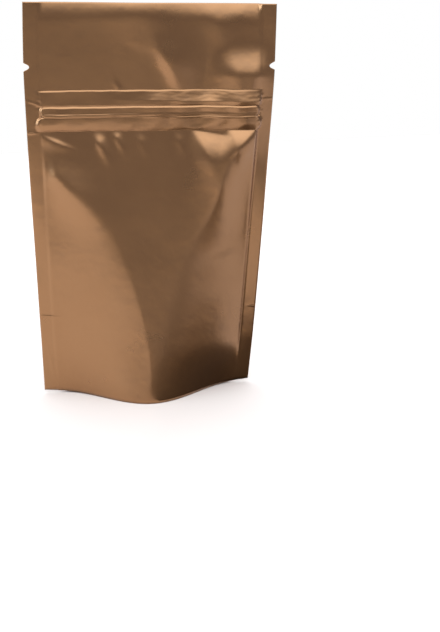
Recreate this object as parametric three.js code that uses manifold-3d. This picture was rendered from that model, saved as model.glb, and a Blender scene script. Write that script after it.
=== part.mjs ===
// Stand-up pouch of bronze metallised film, shut and empty. Two panels are welded together down both
// sides. A pleat is folded up into the bottom, so the pouch stands on two curved rims. A press-to-close
// zipper band crosses the panels below the mouth, and each side weld has a tear notch above the band.
// Millimetres, +Z up. The front panel faces -Y, and the origin is on the floor under the middle.

import * as THREE from 'three';
import { LoftGeometry } from 'three/addons/geometries/LoftGeometry.js';
import { mergeVertices } from 'three/addons/utils/BufferGeometryUtils.js';
import Module from 'manifold-3d';

// Driving dimensions
const pouchWidth = 101.6;
const pouchHeight = 165.5;
const standDepth = 38;
const sideWeld = 5.2;
const pleatHeight = 34;
const zipperFoot = 115.6;
const zipperHead = 132.2;
const notchHeight = 140.8;

// Film
const weldThickness = 0.4;
const pocketThickness = 1;
const pocketRamp = 2;
const rimThickness = 0.8;
const bottomWeld = 5;

// Hollow under the pleat: its length as a share of the pocket, and the width left open at its crease
const pleatReach = 0.84;
const pleatCrease = 0.6;

// How the empty pouch stands: narrower at the floor, leaning to one side and a little twisted
const baseNarrowing = 5.35;
const narrowingStart = 140;
const narrowingPower = 1.19;
const baseLean = 5.02;
const baseTwist = 2.63;
const cornerLift = 1.5;
const flatRimShare = 0.3;

// Half the width of the middle, over which the zipper's left section changes to the right one, and the way
// down over which the film below it goes back
const sideChange = 25;
const footFade = 75;

// Bulge below the zipper: a flat triangle that widens upwards between two creases, as shares of half the
// pocket. The left crease is sharp and widens more near the zipper. Beside the right one the film is taut
// low down. Heights are shares of the way from the floor to the zipper
const bulgeSkew = 0.035;
const creasePower = 2;
const widestCrease = 0.84;
const leftWidening = 0.235;
const wideningStart = 0.6;
const wideningEnd = 0.9;
const creaseSharpness = 0.6;
const sharpHeights = { start: 0, full: 0.25, fade: 0.5, end: 0.85 };
const tautHeights = { start: 0, full: 0.2, fade: 0.35, end: 0.6 };

// Mouth: how far the panels bow apart above the zipper, how the top edge slants and narrows, and how
// its lip curls back, more at the right and not in the welds
const mouthBow = 0.3;
const mouthBowReach = 34;
const mouthBowPower = 1.5;
const mouthSlant = 1.36;
const topNarrowing = 0.37;
const lipWidth = 8;
const lipPower = 2.1;
const lipCurlLeft = 1.35;
const lipCurlRight = 2.5;
const lipChange = 40;
const lipEnd = 2.5;

// How far the side welds bend back, up to what height from the floor the bend grows, between what heights it
// fades, and the share of the half width at which it starts
const weldBendLeft = 1.6;
const weldBendRight = -1.9;
const weldBendGrown = 22;
const weldBendFade = { start: 60, end: 112 };
const weldHinge = 0.88;

// Tear notch
const notchDepth = 2.3;
const notchOpening = 3.4;
const notchTipRadius = 0.7;

// How far the cuts run past the film
const overcut = 2;

// Mesh
const panelColumns = 40;
const pleatSections = 28;
const notchTipSteps = 6;
const mergeDistance = 1e-4;

// Section of the zipper band from the mouth down: the height of each corner, and how far it stands out
// at the left and at the right of the front, where the film is pulled. The back is all like the left
const zipperSection = [
  { height: 131.6, left: 0, right: 0 },
  { height: 130.9, left: 0.55, right: 0.4 },
  { height: 127.2, left: 0.65, right: 1.95 },
  { height: 125.5, left: 0.7, right: 1.85 },
  { height: 125.2, left: 0.5, right: 1.6 },
  { height: 124.5, left: 1.15, right: 2.2 },
  { height: 122.4, left: 1.3, right: 2.05 },
  { height: 121.6, left: 1.48, right: 2.2 },
  { height: 121.2, left: 1.45, right: 2 },
  { height: 120.7, left: 1.2, right: 2.35 },
  { height: 120.2, left: 1.25, right: 2.15 },
  { height: 118.6, left: 1.2, right: 2.1 },
  { height: 115.8, left: 0.65, right: 1.8 },
  { height: 115.3, left: 0, right: 1.5 },
];

// Soft folds in the film: where the crest is, the turn of its long side from level in degrees, how far
// it reaches along that side to both ends and across it up and down, and how far it stands out
const frontFolds = [
  { across: -39, height: 111, turn: -23, left: 6.5, right: 7, up: 1, down: 3, relief: 0.6 },
  { across: -33, height: 91.5, turn: -39, left: 14, right: 13, up: 7, down: 9, relief: 0.9 },
  { across: 31.5, height: 60.2, turn: 19, left: 10, right: 9, up: 3, down: 9, relief: 0.6 },
];
const backFolds = [
  { across: -30, height: 110.5, turn: 28, left: 8, right: 8, up: 3, down: 4, relief: 1.1 },
  { across: -6, height: 111.8, turn: 80, left: 4, right: 4, up: 2, down: 2, relief: 0.6 },
  { across: 18, height: 112, turn: -75, left: 5, right: 5, up: 2, down: 2, relief: 0.7 },
  { across: 37, height: 112.4, turn: -20, left: 8, right: 8, up: 2, down: 3, relief: 0.9 },
];
// Folds of the header, where the two films lie flat on each other and bend as one
const headerFolds = [
  { across: -6, height: 164, turn: 0, left: 15, right: 12, up: 7, down: 9, relief: 1.5 },
  { across: 7.4, height: 142.5, turn: -63, left: 9, right: 11, up: 9, down: 3.2, relief: 1.9 },
  { across: 28, height: 156.5, turn: -60, left: 8, right: 8, up: 6, down: 5, relief: 0.7 },
];

// Shoulders of the film, which come out steeply below their top edge and widen from a tip: both ends, how
// far the tip takes to start and how much further for each millimetre down, how softly the wide end stops,
// the top edge's height at both ends, how far it drops, its slope, and the way down over which it fades.
// A lead under 1 is steepest near the top, one over 1 near the bottom
const tipLead = 0.3;
const shoulderSpread = 0.2;
const frontShoulders = [
  {
    tip: { across: 16.8, top: 115.2, soft: 2.4, spread: 0.6 },
    wide: { across: 32.5, top: 113, soft: 2 },
    drop: 10,
    slope: 0.31,
    lead: 0.85,
    fade: 110,
  },
  {
    tip: { across: 45.2, top: 115.4, soft: 2, spread: 1.1 },
    wide: { across: 32.4, top: 115.2, soft: 2.2 },
    drop: 9.5,
    slope: 0.4,
    lead: 0.6,
    fade: 70,
  },
];

// The header also bends forward beside the right notch
const headerBend = {
  tip: { across: 25, top: 154.4, soft: 6, spread: 0.3 },
  wide: { across: 48, top: 154, soft: 3 },
  drop: 18,
  slope: 0.26,
  lead: 1.5,
  fade: 90,
};

// Folds and shoulders of each panel, and whether its zipper is pulled at the right. The plain one stands
// for the film inside the folds
const frontPanel = { folds: frontFolds, shoulders: frontShoulders, pulled: 1 };
const backPanel = { folds: backFolds, shoulders: [], pulled: 0 };
const plainPanel = { folds: [], shoulders: [], pulled: 0 };

// Rows of the panels below and above the zipper's section: each stretch has its own number of even steps
const bodyRows = [
  { top: bottomWeld, steps: 2 },
  { top: pleatHeight, steps: 6 },
  { top: 104, steps: 16 },
  { top: 114.4, steps: 8 },
];
const headerRows = [
  { top: 160, steps: 10 },
  { top: pouchHeight, steps: 4 },
];

const { clamp, lerp } = THREE.MathUtils;

function smoothStep(start, end, value) {
  return THREE.MathUtils.smoothstep(value, start, end);
}

// A bell from 0 at -1 to 1 at 0 and back to 0 at 1, level at all three
function bell(share) {
  return (1 + Math.cos(Math.PI * clamp(share, -1, 1))) / 2;
}

// 0 up to the zipper's head and 1 at the mouth
function mouthShare(height) {
  return clamp((height - zipperHead) / (pouchHeight - zipperHead), 0, 1);
}

function halfWidth(height) {
  const below = Math.max(0, 1 - height / narrowingStart);
  const drawnIn = baseNarrowing * below ** narrowingPower + topNarrowing * mouthShare(height) ** 2;
  return pouchWidth / 2 - drawnIn;
}

// Half the width between the inner lines of the two side welds
function halfPocket(height) {
  return halfWidth(height) - sideWeld;
}

// Rises from 0 to 1 and falls back to 0 between four heights
function hump({ start, full, fade, end }, up) {
  return smoothStep(start, full, up) * (1 - smoothStep(fade, end, up));
}

// How far the film between the zipper and the rim stands out. up is 0 at the floor and 1 at the zipper
function bulge(share, height) {
  const up = Math.min(1, height / zipperFoot);
  const skewed = share - bulgeSkew * (1 - share ** 2);
  const atLeft = skewed < 0;
  const widening = atLeft ? leftWidening * smoothStep(wideningStart, wideningEnd, up) : 0;
  const crease = Math.min(widestCrease, up ** creasePower * (1 + widening));
  const aside = clamp((Math.abs(skewed) - crease) / (1 - crease), 0, 1);
  const folded = lerp(bell(aside), 1 - aside, creaseSharpness * hump(sharpHeights, up));
  const taut = lerp(bell(aside), Math.cos(Math.PI / 2 * aside), hump(tautHeights, up));
  return (standDepth - pocketThickness) / 2 * (1 - up) * (atLeft ? folded : taut);
}

function zipperRelief(x, height, pulled) {
  const toRight = pulled * smoothStep(-sideChange, sideChange, x);
  const foot = zipperSection[zipperSection.length - 1];
  if (height < foot.height) {
    return lerp(foot.left, foot.right, toRight) * (1 - smoothStep(0, footFade, foot.height - height));
  }
  const lower = zipperSection.findIndex((corner) => corner.height <= height);
  if (lower < 1) {
    return 0;
  }
  const from = zipperSection[lower - 1];
  const to = zipperSection[lower];
  const along = (from.height - height) / (from.height - to.height);
  const left = lerp(from.left, to.left, along);
  const right = lerp(from.right, to.right, along);
  return lerp(left, right, toRight);
}

function foldRelief(fold, x, height) {
  const turn = THREE.MathUtils.degToRad(fold.turn);
  const dx = x - fold.across;
  const dz = height - fold.height;
  const along = dx * Math.cos(turn) + dz * Math.sin(turn);
  const aside = dz * Math.cos(turn) - dx * Math.sin(turn);
  const alongShare = along / (along > 0 ? fold.right : fold.left);
  const asideShare = aside / (aside > 0 ? fold.up : fold.down);
  return fold.relief * Math.exp(-(alongShare ** 2) - asideShare ** 2);
}

function shoulderRelief({ tip, wide, drop, slope, lead, fade }, x, height) {
  const way = Math.sign(wide.across - tip.across);
  const length = Math.abs(wide.across - tip.across);
  const fromTip = (x - tip.across) * way;
  const below = lerp(tip.top, wide.top, clamp(fromTip / length, 0, 1)) - height;
  if (below <= 0 || below >= fade) {
    return 0;
  }
  const start = tip.soft + tip.spread * below;
  const stop = wide.soft + shoulderSpread * below;
  const started = smoothStep(-tipLead * start, start, fromTip);
  const stopped = smoothStep(-stop, stop, length - fromTip);
  const rise = smoothStep(0, 1, Math.min(1, below / drop) ** lead);
  return slope * drop * rise * started * stopped * bell(below / fade);
}

// How far a panel stands out from the middle of the pouch. share runs from -1 to 1 between the welds
function panelDepth(share, height, { folds, shoulders, pulled }) {
  const x = share * halfPocket(height);
  const pocket = smoothStep(0, pocketRamp, halfPocket(height) - Math.abs(x));
  const creases = folds.reduce((sum, fold) => sum + foldRelief(fold, x, height), 0);
  const shelves = shoulders.reduce((sum, shoulder) => sum + shoulderRelief(shoulder, x, height), 0);
  const relief = zipperRelief(x, height, pulled) + creases + shelves;
  const opened = pocket * ((pocketThickness - weldThickness) / 2 + relief);
  const bowRise = Math.sin(Math.PI * mouthShare(height) ** mouthBowPower);
  const bow = mouthBow * bowRise * bell(x / mouthBowReach);
  return weldThickness / 2 + opened + bow + bulge(share, height);
}

function addRows(heights, stretches) {
  for (const stretch of stretches) {
    const start = heights[heights.length - 1];
    for (let step = 1; step <= stretch.steps; step++) {
      heights.push(start + (stretch.top - start) * step / stretch.steps);
    }
  }
}

function rowHeights() {
  const heights = [0];
  addRows(heights, bodyRows);
  for (const corner of [...zipperSection].reverse()) {
    heights.push(corner.height);
  }
  addRows(heights, headerRows);
  return heights;
}

// One row of a panel from the left edge to the right: the weld's outer edge, the pocket, the other weld
function panelRow(height, side, panel) {
  const row = [];
  const edge = halfWidth(height);
  row.push(new THREE.Vector3(-edge, side * weldThickness / 2, height));
  for (let column = 0; column <= panelColumns; column++) {
    const share = 2 * column / panelColumns - 1;
    const depth = panelDepth(share, height, panel);
    row.push(new THREE.Vector3(share * halfPocket(height), side * depth, height));
  }
  row.push(new THREE.Vector3(edge, side * weldThickness / 2, height));
  return row;
}

// A row with both panels drawn together onto the middle of the pouch, which closes the bottom or the mouth
function closingRow(height) {
  return panelRow(height, 0, plainPanel);
}

function pouchBody() {
  const ring = (front, back) => [...front, ...back.reverse()];
  const sections = rowHeights().map((height) => {
    const front = panelRow(height, -1, frontPanel);
    const back = panelRow(height, 1, backPanel);
    return ring(front, back);
  });
  sections.unshift(ring(closingRow(0), closingRow(0)));
  sections.push(ring(closingRow(pouchHeight), closingRow(pouchHeight)));
  return new LoftGeometry(sections);
}

// The hollow under the bottom pleat: an upside-down V between the two rims, cut from below the floor.
// Each wall follows the panel up the bottom weld, then runs to the pleat's crease
function pleatHollow() {
  const inner = (share, height) => panelDepth(share, height, plainPanel) - rimThickness;
  const sections = [];
  for (let step = 0; step <= pleatSections; step++) {
    const share = pleatReach * (2 * step / pleatSections - 1);
    const rim = inner(share, 0);
    const welded = inner(share, bottomWeld);
    const crease = Math.min(pleatCrease / 2, welded / 2);
    const apex = Math.sqrt(pleatHeight ** 2 - rim ** 2);
    const at = (y, height) => new THREE.Vector3(share * halfPocket(height), y, height);
    sections.push([
      at(rim, -overcut),
      at(rim, 0),
      at(welded, bottomWeld),
      at(crease, apex),
      at(-crease, apex),
      at(-welded, bottomWeld),
      at(-rim, 0),
      at(-rim, -overcut),
    ]);
  }
  return new LoftGeometry(sections, { capStart: true, capEnd: true });
}

// A wedge with a round tip, pressed in through the weld from its outer edge. side is -1 or 1
function tearNotch(side) {
  const edge = halfWidth(notchHeight);
  const tipMiddle = edge - notchDepth + notchTipRadius;
  const outline = new THREE.Shape();
  outline.moveTo(edge + overcut, notchOpening / 2);
  outline.lineTo(edge, notchOpening / 2);
  outline.absarc(tipMiddle, 0, notchTipRadius, Math.PI / 2, 1.5 * Math.PI, false);
  outline.lineTo(edge, -notchOpening / 2);
  outline.lineTo(edge + overcut, -notchOpening / 2);
  const through = weldThickness + 2 * overcut;
  const notch = new THREE.ExtrudeGeometry(outline, {
    depth: through,
    bevelEnabled: false,
    curveSegments: notchTipSteps,
  });
  notch.translate(0, 0, -through / 2);
  notch.rotateX(Math.PI / 2);
  if (side < 0) {
    notch.rotateZ(Math.PI);
  }
  notch.translate(0, 0, notchHeight);
  return notch;
}

const wasm = await Module();
wasm.setup();

// Merges shared vertices and leaves out the triangles that the merge has closed up
function toSolid(geometry) {
  const bare = new THREE.BufferGeometry().copy(geometry);
  bare.deleteAttribute('normal');
  bare.deleteAttribute('uv');
  const merged = mergeVertices(bare, mergeDistance);
  const corners = merged.index.array;
  const triangles = [];
  for (let start = 0; start < corners.length; start += 3) {
    const [a, b, c] = corners.slice(start, start + 3);
    if (a !== b && b !== c && c !== a) {
      triangles.push(a, b, c);
    }
  }
  return new wasm.Manifold(new wasm.Mesh({
    numProp: 3,
    vertProperties: new Float32Array(merged.attributes.position.array),
    triVerts: new Uint32Array(triangles),
  }));
}

function toGeometry(solid) {
  const mesh = solid.getMesh();
  const geometry = new THREE.BufferGeometry();
  geometry.setAttribute('position', new THREE.BufferAttribute(mesh.vertProperties.slice(), 3));
  geometry.setIndex(new THREE.BufferAttribute(mesh.triVerts.slice(), 1));
  return geometry;
}

// How far the mouth's edge curls back
function lipBack(x, height) {
  const inside = smoothStep(0, lipEnd, halfPocket(height) - Math.abs(x));
  const intoLip = Math.max(0, 1 - (pouchHeight - height) / lipWidth);
  return lerp(lipCurlLeft, lipCurlRight, smoothStep(0, lipChange, x)) * inside * intoLip ** lipPower;
}

// How far a side weld bends back. across is -1 at the left edge and 1 at the right one
function weldBack(across, height) {
  const faded = 1 - smoothStep(weldBendFade.start, weldBendFade.end, height);
  const grown = Math.min(1, height / weldBendGrown);
  const fromHinge = Math.max(0, Math.abs(across) - weldHinge) / (1 - weldHinge);
  return (across < 0 ? weldBendLeft : weldBendRight) * fromHinge * grown * faded;
}

// How far the header's films bend forward together
function headerRelief(x, height) {
  const creases = headerFolds.reduce((sum, fold) => sum + foldRelief(fold, x, height), 0);
  return creases + shoulderRelief(headerBend, x, height);
}

// Leans the straight pouch, twists its base, bends its welds and header, lifts the bottom corners of the
// welds off the floor, slants the top edge and curls it back
function settle(geometry) {
  const points = geometry.attributes.position;
  const point = new THREE.Vector3();
  for (let index = 0; index < points.count; index++) {
    point.fromBufferAttribute(points, index);
    const down = 1 - point.z / pouchHeight;
    const across = point.x / halfWidth(point.z);
    const nearFloor = Math.max(0, 1 - point.z / pleatHeight);
    const corner = Math.max(0, Math.abs(across) - flatRimShare) / (1 - flatRimShare);
    const slant = mouthSlant * point.x / pouchWidth * mouthShare(point.z);
    const back = baseTwist * across * down + lipBack(point.x, point.z) + weldBack(across, point.z);
    points.setXYZ(
      index,
      point.x - baseLean * down,
      point.y + back - headerRelief(point.x, point.z),
      point.z + cornerLift * corner ** 2 * nearFloor - slant,
    );
  }
}

// Puts the origin under the middle of the box round the pouch
function centreOverOrigin(geometry) {
  geometry.computeBoundingBox();
  const middle = geometry.boundingBox.getCenter(new THREE.Vector3());
  geometry.translate(-middle.x, -middle.y, 0);
}

function makePouch() {
  const cuts = [pleatHollow(), tearNotch(-1), tearNotch(1)];
  const solid = cuts.reduce((left, cut) => left.subtract(toSolid(cut)), toSolid(pouchBody()));
  const geometry = toGeometry(solid);
  settle(geometry);
  centreOverOrigin(geometry);
  geometry.computeVertexNormals();
  const film = new THREE.MeshStandardMaterial({ color: 0x9e7655, metalness: 1, roughness: 0.35 });
  const pouch = new THREE.Mesh(geometry, film);
  pouch.name = 'pouch';
  return pouch;
}

const part = new THREE.Group();
part.add(makePouch());

export default part;
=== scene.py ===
# %% [markdown]
# # A stand-up pouch of bronze film
# The pouch is shut and empty. Two panels of metallised film are welded together down both sides, and a
# third piece of film is folded up between them as a pleat, so the pouch stands on two curved rims.
# A press-to-close zipper crosses the panels below the mouth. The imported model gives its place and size,
# and this lesson gives it the thin film, the small folds and the finish that a solid can't show.

import math
from collections import namedtuple

import bmesh
import bpy
from mathutils import Matrix, Vector, noise


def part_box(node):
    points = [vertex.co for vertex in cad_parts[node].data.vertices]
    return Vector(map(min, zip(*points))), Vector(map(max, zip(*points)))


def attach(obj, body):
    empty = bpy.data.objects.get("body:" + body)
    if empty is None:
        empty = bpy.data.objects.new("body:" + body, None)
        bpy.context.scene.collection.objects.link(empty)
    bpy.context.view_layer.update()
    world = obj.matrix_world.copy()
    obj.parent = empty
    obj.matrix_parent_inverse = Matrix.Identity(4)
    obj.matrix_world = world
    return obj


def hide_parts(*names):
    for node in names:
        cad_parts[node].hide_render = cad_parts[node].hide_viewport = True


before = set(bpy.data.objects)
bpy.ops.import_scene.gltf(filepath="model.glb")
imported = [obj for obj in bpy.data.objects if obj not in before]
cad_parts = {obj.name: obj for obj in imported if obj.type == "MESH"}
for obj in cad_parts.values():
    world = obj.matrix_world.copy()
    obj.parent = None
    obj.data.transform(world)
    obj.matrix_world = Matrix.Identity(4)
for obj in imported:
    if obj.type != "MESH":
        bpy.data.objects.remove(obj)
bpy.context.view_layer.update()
MM = 0.001
lowest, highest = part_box("pouch")
print("the pouch is", round((highest.z - lowest.z) / MM, 1), "mm high")

# %% [markdown]
# ## Outline
# The film is cut as a rectangle. When the pleat opens, the rims bow out to the front and the back, and
# that draws the sides in towards the floor. So the width is a function of the height, and everything
# across the pouch is measured from it. All sizes are millimetres until the points are placed.

# %% Width of the pouch and of its pocket
pouch_width = 101.6
pouch_height = 165.5
side_weld = 5.2
zipper_foot = 115.6
zipper_head = 132.2
base_narrowing = 5.35
narrowing_start = 140
narrowing_power = 1.19
top_narrowing = 0.37


def smooth_step(start, end, value):
    share = min(1, max(0, (value - start) / (end - start)))
    return share * share * (3 - 2 * share)


def mouth_share(height):
    """0 up to the zipper's head and 1 at the mouth."""
    return min(1, max(0, (height - zipper_head) / (pouch_height - zipper_head)))


def half_width(height):
    below = max(0, 1 - height / narrowing_start)
    drawn_in = base_narrowing * below ** narrowing_power + top_narrowing * mouth_share(height) ** 2
    return pouch_width / 2 - drawn_in


def half_pocket(height):
    """Half the width between the inner lines of the two side welds."""
    return half_width(height) - side_weld


print("half the width is", round(half_width(0), 1), "mm on the floor")
print("half the width is", round(half_width(pouch_height), 1), "mm at the top")

# %% [markdown]
# ## Tear notches
# A small wedge with a round tip is punched into each side weld, so that the top can be torn off.
# A boolean cut would work, but the weld is flat there, so it is enough to draw the edge inwards over
# a few close rows.

# %% Edge of the film with its notches
notch_height = 140.8
notch_depth = 2.3
notch_opening = 3.1
notch_roundness = 2


def film_edge(height):
    share = min(1, abs(height - notch_height) / (notch_opening / 2))
    return half_width(height) - notch_depth * (1 - share ** notch_roundness)


print("the edge is", round(half_width(notch_height) - film_edge(notch_height), 2), "mm in at the notch")

# %% [markdown]
# ## How far the panels stand apart
# The zipper holds the panels together in a straight line, and the open pleat holds the rims apart in
# a curve. Film bends easily but hardly stretches, so between the two it hangs as a flat triangle that
# widens upwards, with a crease down each side and a slope beyond it. The left crease is sharp, and low
# down the film beside the right one is taut. One formula for all of it keeps the panel a single surface.

# %% Bulge of the body and bow of the mouth
stand_depth = 38
pocket_thickness = 0.9
# The triangle's middle is a little to the right. Its creases are shares of half the pocket, and heights
# are shares of the way from the floor to the zipper
bulge_skew = 0.035
crease_power = 2
widest_crease = 0.84
left_widening = 0.235
widening_heights = (0.6, 0.9)
left_sharpness = 0.6
sharp_heights = (0, 0.25, 0.5, 0.85)
taut_heights = (0, 0.2, 0.35, 0.6)
mouth_bow = 0.3
mouth_bow_reach = 34
mouth_bow_power = 1.5


def bell(share):
    """1 at 0, falling to 0 at -1 and 1, level at all three."""
    return (1 + math.cos(math.pi * min(1, abs(share)))) / 2


def blend(left, right, share):
    return left + (right - left) * share


def hump(heights, up):
    """Rises from 0 to 1 and falls back to 0 between four heights."""
    start, full, fade, end = heights
    return smooth_step(start, full, up) * (1 - smooth_step(fade, end, up))


def bulge(share, height):
    """How far the film below the zipper stands out. share is -1 to 1 between the side welds."""
    up = min(1, height / zipper_foot)
    skewed = share - bulge_skew * (1 - share * share)
    crease = up ** crease_power
    if skewed < 0:
        crease *= 1 + left_widening * smooth_step(*widening_heights, up)
    crease = min(crease, widest_crease)
    aside = min(1, max(0, abs(skewed) - crease) / (1 - crease))
    if skewed < 0:
        form = blend(bell(aside), 1 - aside, left_sharpness * hump(sharp_heights, up))
    else:
        form = blend(bell(aside), math.cos(math.pi / 2 * aside), hump(taut_heights, up))
    return (stand_depth - pocket_thickness) / 2 * (1 - up) * form


def mouth_opening(x, height):
    bow = mouth_bow * bell(x / mouth_bow_reach)
    return bow * math.sin(math.pi * mouth_share(height) ** mouth_bow_power)


for height in (0, 60):
    print("the front stands out", round(bulge(0, height), 1), "mm at", height, "mm")

# %% [markdown]
# ## Zipper band
# The zipper tape is welded inside, so on the outside only its relief shows: a thin flange at the top,
# two pressed ribs and a broad rounded band. It could be a bump map, but the lines are wide enough to
# catch the light, so they are drawn as a section that runs down the panel. At the right of the front the
# film is pulled, so there the section has a second form, which stands further out and rolls the flange
# over. The side welds crush the ends of the band.

# %% Section of the zipper
ZipperCorner = namedtuple("ZipperCorner", "left_height right_height left_out right_out")
# From the top down to the crest of the broad band, which then rounds off to its foot
zipper_section = [
    ZipperCorner(131.6, 131.6, 0.00, 0.00),
    ZipperCorner(131.2, 130.9, 0.55, 0.40),
    ZipperCorner(128.0, 126.9, 0.63, 2.00),
    ZipperCorner(125.5, 125.6, 0.70, 1.85),
    ZipperCorner(125.2, 125.2, 0.50, 1.60),
    ZipperCorner(124.5, 124.5, 1.15, 2.20),
    ZipperCorner(122.3, 122.6, 1.25, 2.05),
    ZipperCorner(121.8, 121.5, 1.48, 2.20),
    ZipperCorner(121.0, 121.2, 1.42, 2.00),
    ZipperCorner(120.8, 120.5, 1.20, 2.35),
    ZipperCorner(120.3, 120.1, 1.25, 2.15),
]
band_foot = 115.2
# Below the band the pulled film is still this far out, and goes back over a long way
foot_out = 1.5
foot_fade = 75
# Half the width of the middle, over which the left form changes to the right one
side_change = 25


def pulled(x, side):
    """0 at the left and 1 at the right of the front, where the film is pulled."""
    return smooth_step(-side_change, side_change, x) if side < 0 else 0


def zipper_section_out(height, to_right):
    above = zipper_head
    out_above = 0
    for corner in zipper_section:
        corner_height = blend(corner.left_height, corner.right_height, to_right)
        out = blend(corner.left_out, corner.right_out, to_right)
        if height >= corner_height:
            return blend(out_above, out, min(1, (above - height) / (above - corner_height)))
        above = corner_height
        out_above = out
    foot = foot_out * to_right
    down = (above - height) / (above - band_foot)
    return foot + (out_above - foot) * math.sqrt(1 - down * down)


for to_right in (0, 1):
    outs = [zipper_section_out(corner[to_right], to_right) for corner in zipper_section]
    print("the zipper stands out at most", round(max(outs), 2), "mm at the", ("left", "right")[to_right])

# %% [markdown]
# ## Ends and wobble of the zipper
# The flange, the ribs and the band stop at different places, each with its own ramp down to the weld.
# Pressed film is never quite straight, so noise moves the lines a little up and down, swells them and
# wrinkles the pulled flange. Each noise is read from a layer of its own, so that no two look alike.

# %% Relief of the zipper
ZipperEnd = namedtuple(
    "ZipperEnd", "middle half_height left_reach right_reach rounding left_ramp right_ramp"
)
# Where each part is, how far its ends reach, how far they round off and over what way they ramp down
flange_end = ZipperEnd(128.4, 3.2, 46.8, 46.0, 0.3, 4.5, 1.2)
rib_end = ZipperEnd(123.0, 2.3, 45.0, 45.0, 1.6, 1.2, 0.8)
band_end = ZipperEnd(117.8, 2.9, 46.6, 46.2, 2.0, 1.2, 1.0)
# How far the lines wander, how much they swell and over what lengths. At the band's foot they don't swell
line_wobble = 0.25
line_wobble_length = 7
line_swell = 0.25
line_swell_length = 8
line_swell_start = 3
# Wrinkles of the flange: their relief, their length and height, and where they start and stop
crinkle_relief = 0.05
crinkle_size = (3.0, 1.1)
crinkle_foot = (125.3, 126.3)
crinkle_head = (131, 130.4)
# Crushed ends: their relief at the left and the right, and how they fade at the zipper's foot and head
crush_relief = (0.15, 0.4)
crush_size = 1.1
crush_reach = 1.6
crush_border = (-0.5, 1.5)
# Further than this below and above the zipper there is no relief to work out
zipper_margin = 1
wobble_layer = 4
crinkle_layer = 6
swell_layer = 8
crush_layer = 9


def zipper_end(x, height):
    """1 on the zipper and 0 past its end."""
    for part in (flange_end, rib_end, band_end):
        reach, ramp = (part.left_reach, part.left_ramp) if x < 0 else (part.right_reach, part.right_ramp)
        off = min(1, abs(height - part.middle) / part.half_height)
        end = reach - part.rounding * (1 - math.sqrt(1 - off * off))
        if off < 1:
            break
    return smooth_step(0, ramp, end - abs(x))


def crushed_end(x, height):
    """Small bumps where the side weld crushes the zipper."""
    near = bell((abs(x) - rib_end.left_reach) / crush_reach)
    above_foot = smooth_step(*crush_border, height - zipper_foot)
    inside = above_foot * smooth_step(*crush_border, zipper_head - height)
    if near * inside == 0:
        return 0
    relief = crush_relief[0] if x < 0 else crush_relief[1]
    return relief * near * inside * noise.noise(Vector((x / crush_size, crush_layer, height / crush_size)))


def flange_crinkle(x, height, to_right):
    """Fine creases on the flange where the film is pulled."""
    inside = smooth_step(*crinkle_foot, height) * smooth_step(*crinkle_head, height)
    if inside * to_right == 0:
        return 0
    along, up = crinkle_size
    return crinkle_relief * to_right * inside * noise.noise(Vector((x / along, crinkle_layer, height / up)))


def wobbled(x, height):
    """The height in the section from which a point of the panel gets its relief."""
    place = Vector((x / line_wobble_length, height / line_wobble_length, wobble_layer))
    return height - line_wobble * noise.noise(place)


def foot_relief(x, height, side):
    """The film below the band, which goes back slowly."""
    below = band_foot - wobbled(x, height)
    return foot_out * pulled(x, side) * (1 - smooth_step(0, foot_fade, below)) if below > 0 else 0


def zipper_relief(x, height, side):
    if height < band_foot - zipper_margin or height > zipper_head + zipper_margin:
        return 0
    to_right = pulled(x, side)
    height = wobbled(x, height)
    if height < band_foot:
        return 0
    loose = line_swell * smooth_step(0, line_swell_start, height - band_foot)
    place = Vector((x / line_swell_length, height / line_swell_length, swell_layer))
    swell = 1 + loose * noise.noise(place)
    out = swell * zipper_section_out(height, to_right) + flange_crinkle(x, height, to_right)
    return zipper_end(x, height) * out


print("in its middle the zipper's rib is", round(zipper_relief(0, rib_end.middle, -1), 2), "mm out")

# %% [markdown]
# ## Folds
# Film keeps its area, so where the flat zipper meets the curved body it puckers, and the loose header
# above the zipper buckles. Each fold is a bump with its own reach on four sides: a short reach makes
# a crisp crease and a long one a soft slope. The folds of the back aren't seen, and are made up.

# %% Folds of the film
# Where a fold's crest is, how far its long side is turned from level in degrees, how far it reaches along
# that side to both ends and across it up and down, and how far it stands out
Fold = namedtuple("Fold", "across height turn left right up down relief")
front_folds = [
    Fold(-39.0, 111.0, -23, 6.5, 7.0, 1.0, 3.0, 0.6),
    Fold(-20.4, 110.0, 25, 1.9, 2.3, 3.2, 7.0, 1.1),
    Fold(-13.3, 111.9, 25, 1.4, 1.7, 2.2, 5.0, 0.7),
    Fold(-3.6, 110.6, 20, 1.8, 2.0, 3.0, 5.0, 0.4),
    Fold(12.0, 110.6, 20, 1.8, 2.0, 3.0, 5.0, 0.4),
    Fold(-33.0, 91.5, -39, 14.0, 13.0, 7.0, 9.0, 0.9),
    Fold(31.5, 60.2, 19, 10.0, 9.0, 3.0, 9.0, 0.6),
]
# Creases pressed into the side welds
weld_creases = [
    Fold(-47.1, 126.7, -21, 2.5, 2.5, 0.4, 0.4, 0.18),
    Fold(-48.3, 114.6, 0, 2.0, 2.0, 0.4, 0.4, 0.2),
    Fold(48.0, 127.5, 0, 2.2, 2.2, 0.4, 0.4, 0.2),
    Fold(-43.0, 35.5, 0, 4.0, 4.0, 0.4, 0.4, 0.14),
    Fold(46.0, 37.0, 0, 1.6, 1.6, 0.4, 0.4, 0.2),
    Fold(-42.1, 12.8, -77, 10.0, 10.0, 0.8, 0.8, 0.2),
]
back_folds = [
    Fold(-30.0, 110.5, 28, 8.0, 8.0, 3.0, 4.0, 1.1),
    Fold(-6.0, 111.8, 80, 4.0, 4.0, 2.0, 2.0, 0.6),
    Fold(18.0, 112.0, -75, 5.0, 5.0, 2.0, 2.0, 0.7),
    Fold(37.0, 112.4, -20, 8.0, 8.0, 2.0, 3.0, 0.9),
]
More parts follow.
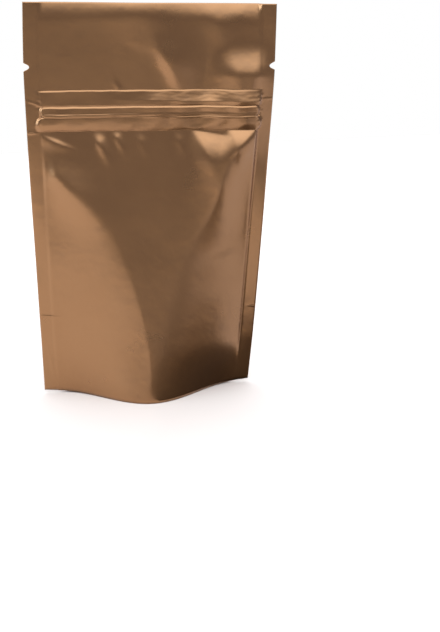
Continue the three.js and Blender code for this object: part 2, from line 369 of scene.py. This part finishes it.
# In the header the two films lie flat on each other, so its folds bend both
header_folds = [
    Fold(-6.0, 164.0, 0, 15.0, 12.0, 7.0, 9.0, 1.5),
    Fold(-3.0, 150.0, -22, 8.0, 7.0, 8.0, 3.0, 0.3),
    Fold(-13.2, 132.6, -60, 3.0, 2.0, 1.2, 0.9, 0.3),
    Fold(7.4, 142.5, -63, 9.0, 11.0, 9.0, 3.2, 1.9),
    Fold(28.0, 156.5, -60, 8.0, 8.0, 6.0, 5.0, 0.7),
]


def fold_relief(fold, x, height):
    dx = x - fold.across
    dz = height - fold.height
    cosine = math.cos(math.radians(fold.turn))
    sine = math.sin(math.radians(fold.turn))
    along = dx * cosine + dz * sine
    aside = dz * cosine - dx * sine
    along /= fold.right if along > 0 else fold.left
    aside /= fold.up if aside > 0 else fold.down
    return fold.relief * math.exp(-along * along - aside * aside)


def relief_of_all(folds, x, height):
    return sum(fold_relief(fold, x, height) for fold in folds)


print(len(front_folds), "folds in front and", len(back_folds), "behind")
print(len(header_folds), "folds above the zipper and", len(weld_creases), "creases in the welds")

# %% [markdown]
# ## Shoulders
# At the right the zipper lets go of the film at once, and it comes out below it in two bright facets. A
# round bump would give a round highlight. So a shoulder has a straight top edge with a steep slope below
# it, and widens from a tip as it goes down. The header bends forward in the same way beside the right
# notch, with both films together.

# %% Shoulders of the film
# Tip and wide end across the pouch, how far the tip takes to start and how much further for each
# millimetre down, how softly the wide end stops, the top edge's height at both ends, how far the slope
# drops, how steep it is, and the way down over which it fades. A lead under 1 is steepest near the top,
# one over 1 near the bottom
Shoulder = namedtuple(
    "Shoulder", "tip wide tip_soft tip_spread wide_soft tip_top wide_top drop slope lead fade"
)
front_shoulders = [
    Shoulder(
        tip=16.8, wide=32.5, tip_soft=2.4, tip_spread=0.6, wide_soft=2.0,
        tip_top=115.2, wide_top=113.0, drop=12.0, slope=0.275, lead=0.65, fade=110,
    ),
    Shoulder(
        tip=45.2, wide=32.4, tip_soft=2.0, tip_spread=1.1, wide_soft=2.2,
        tip_top=115.4, wide_top=115.2, drop=9.5, slope=0.40, lead=0.60, fade=100,
    ),
]
header_bend = Shoulder(
    tip=25.0, wide=48.0, tip_soft=6.0, tip_spread=0.3, wide_soft=3.0,
    tip_top=154.4, wide_top=154.0, drop=18.0, slope=0.26, lead=1.5, fade=90,
)
# The tip starts this share of its way early, and the wide end gets this much softer for each millimetre down
tip_lead = 0.3
wide_spread = 0.2


def shoulder_relief(shoulder, x, height):
    """Film that comes out steeply, spreads on its way down and fades."""
    way = math.copysign(1, shoulder.wide - shoulder.tip)
    from_tip = (x - shoulder.tip) * way
    along = min(1, max(0, from_tip / abs(shoulder.wide - shoulder.tip)))
    below = blend(shoulder.tip_top, shoulder.wide_top, along) - height
    if below <= 0 or below >= shoulder.fade:
        return 0
    start = shoulder.tip_soft + shoulder.tip_spread * below
    stop = shoulder.wide_soft + wide_spread * below
    started = smooth_step(-tip_lead * start, start, from_tip)
    stopped = smooth_step(-stop, stop, (shoulder.wide - x) * way)
    rise = smooth_step(0, 1, min(1, below / shoulder.drop) ** shoulder.lead)
    out = shoulder.slope * shoulder.drop * rise * (started * stopped)
    return out * bell(below / shoulder.fade)


def header_relief(x, height):
    """How far the header's films bend forward together."""
    return shoulder_relief(header_bend, x, height) + relief_of_all(header_folds, x, height)


print(len(front_shoulders), "shoulders in front and one bend in the header")

# %% [markdown]
# ## One panel as a height field
# All of this adds up to one number: how far a panel stands out from the middle of the pouch. Inside
# the side welds the two films are one flat strip. A little slow noise keeps the film from looking
# machined.

# %% Depth of a panel
weld_thickness = 0.4
pocket_ramp = 1.4
wave_size = 16
wave_relief = 0.12
wave_layer = 5


def panel_depth(x, height, side):
    """side is -1 for the front and 1 for the back."""
    in_front = side < 0
    zipper = zipper_relief(x, height, side) + crushed_end(x, height)
    if in_front:
        zipper += relief_of_all(weld_creases, x, height)
    share = x / half_pocket(height)
    if abs(share) >= 1:
        return weld_thickness / 2 + zipper
    wave = wave_relief * noise.noise(Vector((x / wave_size, side * wave_layer, height / wave_size)))
    folds = front_folds if in_front else back_folds
    relief = wave + foot_relief(x, height, side) + relief_of_all(folds, x, height)
    if in_front:
        relief += sum(shoulder_relief(shoulder, x, height) for shoulder in front_shoulders)
    pocket = smooth_step(0, pocket_ramp, half_pocket(height) - abs(x))
    opened = pocket * ((pocket_thickness - weld_thickness) / 2 + relief) + mouth_opening(x, height)
    return weld_thickness / 2 + zipper + opened + bulge(share, height)


print("the front is", round(panel_depth(0, 0, -1), 2), "mm out at the rim")

# %% [markdown]
# ## Bottom pleat
# Under the pouch the third film runs from each rim up to one crease, so from below there is a hollow
# like an upside-down V. It is welded to the panel for a few millimetres above the rim. Towards the side
# welds the hollow closes and runs out.

# %% Inner wall of a rim
pleat_height = 34
bottom_weld = 5
rim_thickness = 0.6
# The rim's depth over which the hollow runs out, and the share of the wall's rows that the weld takes
closing_depth = 1.2
weld_share = 0.2


def pleat_point(x, along, side):
    """Depth and height of a point of the pleat's wall. along is 0 at the crease and 1 at the floor."""
    rim = (panel_depth(x, 0, -1) + panel_depth(x, 0, 1)) / 2 - rim_thickness
    if rim <= 0:
        return 0, 0
    open_share = smooth_step(0, closing_depth, rim)
    crease = open_share * math.sqrt(pleat_height ** 2 - rim ** 2)
    weld_top = open_share * bottom_weld
    welded = max(0, panel_depth(x, weld_top, side) - rim_thickness)
    if along < 1 - weld_share:
        down = along / (1 - weld_share)
        return welded * down, crease + (weld_top - crease) * down
    down = (along - 1 + weld_share) / weld_share
    height = weld_top * (1 - down)
    return max(0, panel_depth(x, height, side) - rim_thickness), height


print("the crease is", round(pleat_point(0, 0, -1)[1], 1), "mm above the floor")

# %% [markdown]
# ## Rows and columns
# Each panel is one grid. Its rows start at the pleat's crease, come down the inner wall, turn round the
# rim and climb the panel to the mouth. Rows are close where the film is busy, at the zipper and the
# notches, and wide apart on the plain body.

# %% Plan of the grid
pleat_rows = 18
# Height at the top of each stretch of the panel, and its number of even steps
row_stretches = [
    (6, 4), (34, 12), (38.4, 20), (100, 30), (114, 24),
    (zipper_head, 96), (138.5, 8), (143.1, 16), (158, 16), (pouch_height, 16),
]
weld_columns = 10
pocket_columns = 164
# The column next to the edge is this share of the weld's width away from it
edge_share = 0.02


def row_plan():
    rows = [("pleat", step / pleat_rows) for step in range(pleat_rows + 1)]
    height = 0
    rows.append(("panel", height))
    for top, steps in row_stretches:
        start = height
        for step in range(1, steps + 1):
            height = start + (top - start) * step / steps
            rows.append(("panel", height))
    rows.append(("mouth", height))
    return rows


def column_place(column, height):
    """The x of a column, and whether it is the film's outer edge."""
    from_edge = min(column, columns - column)
    side = -1 if column < columns / 2 else 1
    pocket = half_pocket(height)
    if from_edge <= weld_columns:
        share = blend(edge_share, 1, (from_edge - 1) / (weld_columns - 1)) if from_edge else 0
        edge = film_edge(height)
        return side * (edge + (pocket - edge) * share), from_edge == 0
    return pocket * (2 * (column - weld_columns) / pocket_columns - 1), False


rows = row_plan()
columns = pocket_columns + 2 * weld_columns
print(len(rows), "rows and", columns + 1, "columns for each panel")

# %% [markdown]
# ## How the empty pouch stands
# The pouch leans a little and its base is slightly twisted. Its lip curls back, its side welds bend, and
# the corners of the welds are off the floor. These are small bends of the whole sheet, so they are done
# last, to both panels alike.

# %% Settle a point
base_lean = 5.02
base_twist = 2.63
mouth_slant = 1.36
corner_lift = 1.5
flat_rim_share = 0.3
# The lip curls more at the right, and its width wavers there
lip_curl = (1.35, 2.5)
lip_width = 8.0
lip_change = 40
lip_wave = 3
lip_wave_length = 9
lip_layer = 2.5
lip_power = 2.1
lip_end = 2.5
# The welds' edges flutter from this share of the half width outwards
weld_flutter = 0.35
flutter_start = 0.85
flutter_length = 24
flutter_layer = 3
# How far the welds bend back at the left and the right from a hinge, up to what height from the floor the
# bend grows, and between what heights it fades
weld_bend = (1.6, -1.9)
weld_hinge = 0.88
bend_grown = 22
bend_fade = (60, 112)


def lip_back(x, height):
    """How far the mouth's edge curls back."""
    to_right = smooth_step(0, lip_change, x)
    lip = lip_width + lip_wave * to_right * noise.noise(Vector((x / lip_wave_length, lip_layer, 0)))
    inside = smooth_step(0, lip_end, half_pocket(height) - abs(x))
    return blend(*lip_curl, to_right) * inside * max(0, 1 - (pouch_height - height) / lip) ** lip_power


def weld_back(across, height):
    """How far a side weld leans back. across is -1 at the left edge and 1 at the right one."""
    flutter = weld_flutter * smooth_step(flutter_start, 1, abs(across))
    wave = noise.noise(Vector((math.copysign(flutter_layer, across), 0, height / flutter_length)))
    leaning = (1 - smooth_step(*bend_fade, height)) * min(1, height / bend_grown)
    bend = weld_bend[1] if across > 0 else weld_bend[0]
    return flutter * wave + bend * max(0, abs(across) - weld_hinge) / (1 - weld_hinge) * leaning


def settle(point):
    down = 1 - point.z / pouch_height
    across = point.x / half_width(point.z)
    near_floor = max(0, 1 - point.z / pleat_height)
    corner = max(0, abs(across) - flat_rim_share) / (1 - flat_rim_share)
    slant = mouth_slant * point.x / pouch_width * mouth_share(point.z)
    rise = corner_lift * corner ** 2 * near_floor - slant
    back = base_twist * across * down + lip_back(point.x, point.z) + weld_back(across, point.z)
    back -= header_relief(point.x, point.z)
    return point + Vector((-base_lean * down, back, rise))


corner_rise = settle(Vector((half_width(0), 0, 0))).z
print("the corners of the welds are", round(corner_rise, 1), "mm off the floor")

# %% [markdown]
# ## The film
# A grid operator makes each panel flat, and every vertex then moves to its place. The last column on
# each side, the crease and the mouth lie in the middle of the pouch for both panels, so the two grids
# meet there and merging doubles closes the film.

# %% Place the points
merge_distance = 0.001 * MM
shortest_edge = 0.0005 * MM


def film_point(column, row, side):
    kind, value = rows[row]
    if kind == "pleat":
        x, at_edge = column_place(column, 0)
        depth, height = pleat_point(x, value, side)
    else:
        height = value
        x, at_edge = column_place(column, height)
        depth = 0 if kind == "mouth" else panel_depth(x, height, side)
    return Vector((x, 0 if at_edge else side * depth, height))


def add_panel(film, side):
    grid = bmesh.ops.create_grid(film, x_segments=columns, y_segments=len(rows) - 1, size=0.5)
    for vertex in grid["verts"]:
        column = round((vertex.co.x + 0.5) * columns)
        row = round((vertex.co.y + 0.5) * (len(rows) - 1))
        vertex.co = settle(film_point(column, row, side)) * MM


film = bmesh.new()
for side in (-1, 1):
    add_panel(film, side)
bmesh.ops.remove_doubles(film, verts=film.verts, dist=merge_distance)
bmesh.ops.dissolve_degenerate(film, edges=film.edges, dist=shortest_edge)
bmesh.ops.recalc_face_normals(film, faces=film.faces)
print(len(film.faces), "faces,", sum(not edge.is_manifold for edge in film.edges), "open edges")

# %% [markdown]
# ## Onto the frame
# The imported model's origin is under the middle of its box. The film fills the same box, so its own middle
# is moved there. The piece then rides on the model's body and takes the place of the plain solid.

# %% Make the film an object over the middle of the frame
places = [vertex.co for vertex in film.verts]
middle_x = (min(place.x for place in places) + max(place.x for place in places)) / 2
middle_y = (min(place.y for place in places) + max(place.y for place in places)) / 2
frame_middle = (lowest + highest) / 2
to_frame = Vector((frame_middle.x - middle_x, frame_middle.y - middle_y, 0))
bmesh.ops.translate(film, verts=film.verts, vec=to_frame)
for face in film.faces:
    face.smooth = True
film_mesh = bpy.data.meshes.new("pouch_film")
film.to_mesh(film_mesh)
film.free()
pouch_film = bpy.data.objects.new("pouch_film", film_mesh)
bpy.context.scene.collection.objects.link(pouch_film)
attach(pouch_film, "root")
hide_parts("pouch")
print("moved the film by", [round(value / MM, 2) for value in to_frame], "mm onto the frame")

# %% [markdown]
# ## Material helpers
# Materials are built from nodes. One function turns a colour as it is picked on a screen into the linear
# light that a renderer counts in, and one adds a node with its settings and links in a single call.

# %% Helpers for materials
def linear(hex_colour):
    values = [int(hex_colour[place:place + 2], 16) / 255 for place in (1, 3, 5)]
    return [v / 12.92 if v <= 0.04045 else ((v + 0.055) / 1.055) ** 2.4 for v in values] + [1]


def add_node(tree, kind, settings=(), links=()):
    """Adds a node. settings are (name, value) of its own or its sockets, links are (socket, source)."""
    node = tree.nodes.new(kind)
    for name, value in settings:
        if name in node.inputs:
            node.inputs[name].default_value = value
        else:
            setattr(node, name, value)
    for socket, source in links:
        tree.links.new(source, node.inputs[socket])
    return node


def empty_material(name):
    material = bpy.data.materials.new(name)
    material.use_nodes = True
    material.node_tree.nodes.clear()
    return material


def per_metre(size_mm):
    return 1 / (size_mm * MM)


print("bronze is", [round(value, 3) for value in linear("#92663B")], "in linear light")

# %% [markdown]
# ## Bronze film
# The film is polyester with a vapour-deposited aluminium layer under a bronze lacquer. The eye gets a
# metal with a coloured, satin reflection: highlights are broad and warm, and the film's own unevenness
# shows as cloudy patches of gloss. The clear polyester outside adds a paler reflection of its own.

# %% Bronze metallised film
cloud_size = 22
dimple_size = 6
dimple_depth = 0.18
# Real grain is a few hundredths of a millimetre. It is drawn at 1.6 mm so that it shows
grain_size = 1.6
grain_depth = 0.02
satin_range = (0.24, 0.34)


def film_noise(tree, place, size, detail):
    settings = [("Scale", per_metre(size)), ("Detail", detail)]
    return add_node(tree, "ShaderNodeTexNoise", settings, [("Vector", place)]).outputs["Fac"]


def bronze_film():
    material = empty_material("bronze_metallised_film")
    tree = material.node_tree
    place = add_node(tree, "ShaderNodeTexCoord").outputs["Object"]
    cloud = film_noise(tree, place, cloud_size, 3)
    gloss = add_node(
        tree,
        "ShaderNodeMapRange",
        [("To Min", satin_range[0]), ("To Max", satin_range[1])],
        [("Value", cloud)],
    )
    tone = add_node(
        tree,
        "ShaderNodeMix",
        [("data_type", "RGBA"), ("A", linear("#92663B")), ("B", linear("#9C7045"))],
        [("Factor", cloud)],
    )
    rough = add_node(
        tree,
        "ShaderNodeBump",
        [("Strength", 0.25), ("Distance", grain_depth * MM)],
        [("Height", film_noise(tree, place, grain_size, 1))],
    )
    uneven = add_node(
        tree,
        "ShaderNodeBump",
        [("Strength", 1), ("Distance", dimple_depth * MM)],
        [("Height", film_noise(tree, place, dimple_size, 2)), ("Normal", rough.outputs["Normal"])],
    )
    # The coat is the clear polyester over the metal
    shader = add_node(
        tree,
        "ShaderNodeBsdfPrincipled",
        [("Metallic", 1), ("Coat Weight", 1), ("Coat Roughness", 0.25)],
        [("Roughness", gloss.outputs["Result"]), ("Normal", uneven.outputs["Normal"])],
    )
    tree.links.new(tone.outputs["Result"], shader.inputs["Base Color"])
    add_node(tree, "ShaderNodeOutputMaterial", [], [("Surface", shader.outputs["BSDF"])])
    return material


film_mesh.materials.append(bronze_film())
print("the film has", len(film_mesh.materials), "material")

# %% [markdown]
# ## Floor
# A satin metal is a picture of what stands round it, so the room matters as much as the film. A pale matt
# floor shows in all film that faces a little down, which makes the lower panels light.

# %% Pale floor
floor_width = 1.5
floor_front = -0.36
floor_back = 0.55
floor_turn = 8
floor_segments = 8
mottle_size = 120


def matt_floor():
    material = empty_material("matt_white_floor")
    tree = material.node_tree
    place = add_node(tree, "ShaderNodeTexCoord").outputs["Object"]
    mottle = add_node(tree, "ShaderNodeTexNoise", [("Scale", per_metre(mottle_size))], [("Vector", place)])
    tone = add_node(
        tree,
        "ShaderNodeMix",
        [("data_type", "RGBA"), ("A", linear("#DED6D1")), ("B", linear("#E0D8D3"))],
        [("Factor", mottle.outputs["Fac"])],
    )
    shader = add_node(tree, "ShaderNodeBsdfPrincipled", [("Roughness", 0.8)])
    tree.links.new(tone.outputs["Result"], shader.inputs["Base Color"])
    add_node(tree, "ShaderNodeOutputMaterial", [], [("Surface", shader.outputs["BSDF"])])
    return material


ground = bmesh.new()
bmesh.ops.create_grid(ground, x_segments=floor_segments, y_segments=floor_segments, size=0.5)
bmesh.ops.scale(ground, verts=ground.verts, vec=(floor_width, floor_back - floor_front, 1))
bmesh.ops.translate(ground, verts=ground.verts, vec=(0, (floor_front + floor_back) / 2, 0))
bmesh.ops.rotate(ground, verts=ground.verts, matrix=Matrix.Rotation(math.radians(floor_turn), 3, "Z"))
floor_mesh = bpy.data.meshes.new("floor")
ground.to_mesh(floor_mesh)
ground.free()
floor = bpy.data.objects.new("floor", floor_mesh)
floor_mesh.materials.append(matt_floor())
bpy.context.scene.collection.objects.link(floor)
print("the floor is", floor_width, "m wide")

# %% [markdown]
# ## Cards
# Low at the right the film is dark, and it gets lighter towards the weld and the middle. A photographer
# gets that with dark and pale cards on the floor in front. Here only reflections see the cards, so the
# floor stays plain in the picture. Each card's corners are where the film's reflection of it should end.

# %% Cards in front, which only reflections see
# The dark cards lie above the paler ones
dark_corners = [(0, 3), (58, 3), (62, -10), (88, -34), (84, -45), (0, -45)]
left_corners = [(-8, -45), (60, -45), (60, -190), (36, -200), (36, -260), (6, -260), (0, -100)]
right_corners = [
    (60, -45), (84, -45), (88, -34), (97, -36), (110, -58), (110, -100),
    (102, -150), (98, -200), (96, -277), (70, -240), (60, -190),
]
middle_corners = [
    (97, -36), (115, -56), (130, -80), (148, -145), (143, -190), (130, -240),
    (112, -300), (96, -277), (98, -200), (102, -150), (110, -100), (110, -58),
]
grey_corners = [
    (70, -240), (112, -300), (130, -240), (143, -190),
    (185, -420), (170, -560), (50, -560), (62, -260),
]
pale_corners = [(72, 150), (72, -60), (102, -140), (102, -550), (630, -550), (630, 150)]
far_corners = [(-600, -360), (102, -360), (400, -3000), (-600, -3000)]


def matt_card(name, colour):
    material = empty_material(name)
    tree = material.node_tree
    settings = [("Base Color", linear(colour)), ("Roughness", 0.8)]
    shader = add_node(tree, "ShaderNodeBsdfPrincipled", settings)
    add_node(tree, "ShaderNodeOutputMaterial", [], [("Surface", shader.outputs["BSDF"])])
    return material


def add_card(name, corners, height, colour):
    """A flat card on the floor. Its corners and height are millimetres."""
    sheet = bmesh.new()
    sheet.faces.new([sheet.verts.new(Vector((x, y, height)) * MM) for x, y in corners])
    bmesh.ops.recalc_face_normals(sheet, faces=sheet.faces)
    mesh = bpy.data.meshes.new(name)
    sheet.to_mesh(mesh)
    sheet.free()
    card = bpy.data.objects.new(name, mesh)
    mesh.materials.append(matt_card("matt_" + name, colour))
    card.visible_camera = False
    card.visible_diffuse = False
    card.visible_shadow = False
    bpy.context.scene.collection.objects.link(card)
    print(name, "has", len(corners), "corners")


add_card("dark_card", dark_corners, 1.0, "#463C34")
add_card("left_card", left_corners, 0.8, "#52473D")
add_card("right_card", right_corners, 0.8, "#5C5046")
add_card("middle_card", middle_corners, 0.8, "#80766E")
add_card("grey_card", grey_corners, 0.6, "#8E8C8E")
add_card("pale_card", pale_corners, 0.4, "#C6C2C4")
add_card("far_card", far_corners, 0.2, "#97928C")

# %% [markdown]
# ## Light
# A tall soft box at the left gives the film that faces that way a cool sheen. It could light everything,
# but then it would throw a shadow on the floor, so it only shows in reflections.

# %% Soft strip at the left
strip_place = Vector((-1.25, -0.33, 0.5))
strip_aim = Vector((0, 0, 0.12))
strip_data = bpy.data.lights.new("left_strip", "AREA")
strip_data.shape = "RECTANGLE"
strip_data.size = 0.6
strip_data.size_y = 0.9
strip_data.energy = 7
strip_data.color = linear("#E4F4FF")[:3]
strip = bpy.data.objects.new("left_strip", strip_data)
strip.location = strip_place
strip.rotation_euler = (strip_aim - strip_place).to_track_quat("-Z", "Y").to_euler()
strip.visible_diffuse = False
bpy.context.scene.collection.objects.link(strip)
print("the strip is", round(strip.location.length, 2), "m from the pouch")

# %% [markdown]
# ## Room
# Upright film reflects what is behind the camera, so a dim room leaves it dark. A bright dome overhead
# shows in every fold that faces up, and also lights the floor. The camera itself sees plain white behind
# the pouch, as on a white sweep.

# %% Dim room with a bright dome
# The dome grows brighter between two heights of the line of sight, 0 being level and 1 straight up
dome_start = 0.26
dome_full = 0.85
dome_strength = 2.3


def add_background(tree, colour, settings=(), links=()):
    return add_node(tree, "ShaderNodeBackground", [("Color", linear(colour)), *settings], links)


room = bpy.data.worlds.new("studio")
bpy.context.scene.world = room
room.use_nodes = True
sky = room.node_tree
sky.nodes.clear()
sight = add_node(sky, "ShaderNodeTexCoord")
rise = add_node(sky, "ShaderNodeSeparateXYZ", [], [("Vector", sight.outputs["Generated"])])
glow = add_node(
    sky,
    "ShaderNodeMapRange",
    [
        ("interpolation_type", "SMOOTHSTEP"),
        ("From Min", dome_start), ("From Max", dome_full), ("To Max", dome_strength),
    ],
    [("Value", rise.outputs["Z"])],
)
dim = add_background(sky, "#9F9EA3")
dome = add_background(sky, "#F4FAFF", [], [("Strength", glow.outputs["Result"])])
white = add_background(sky, "#FFFFFF")
around = add_node(sky, "ShaderNodeAddShader")
sky.links.new(dim.outputs["Background"], around.inputs[0])
sky.links.new(dome.outputs["Background"], around.inputs[1])
path = add_node(sky, "ShaderNodeLightPath")
seen = add_node(sky, "ShaderNodeMixShader", [], [("Fac", path.outputs["Is Camera Ray"])])
sky.links.new(around.outputs["Shader"], seen.inputs[1])
sky.links.new(white.outputs["Background"], seen.inputs[2])
add_node(sky, "ShaderNodeOutputWorld", [], [("Surface", seen.outputs["Shader"])])
bpy.context.scene.view_settings.view_transform = "Standard"
print("the room has", len(sky.nodes), "nodes")

# %% [markdown]
# ## Camera
# The photograph was taken from a little above, with a short telephoto lens close to the pouch.

# %% Camera at the photograph's angle
camera_data = bpy.data.cameras.new("camera")
camera_data.lens = 61.17
camera = bpy.data.objects.new("camera", camera_data)
camera.location = (-0.01142 + to_frame.x, -0.44354, 0.19288)
camera.rotation_euler = (math.radians(70.2), 0, math.radians(-5.02))
bpy.context.scene.collection.objects.link(camera)
bpy.context.scene.camera = camera
print("the camera is", round(camera.location.length, 2), "m from the origin")
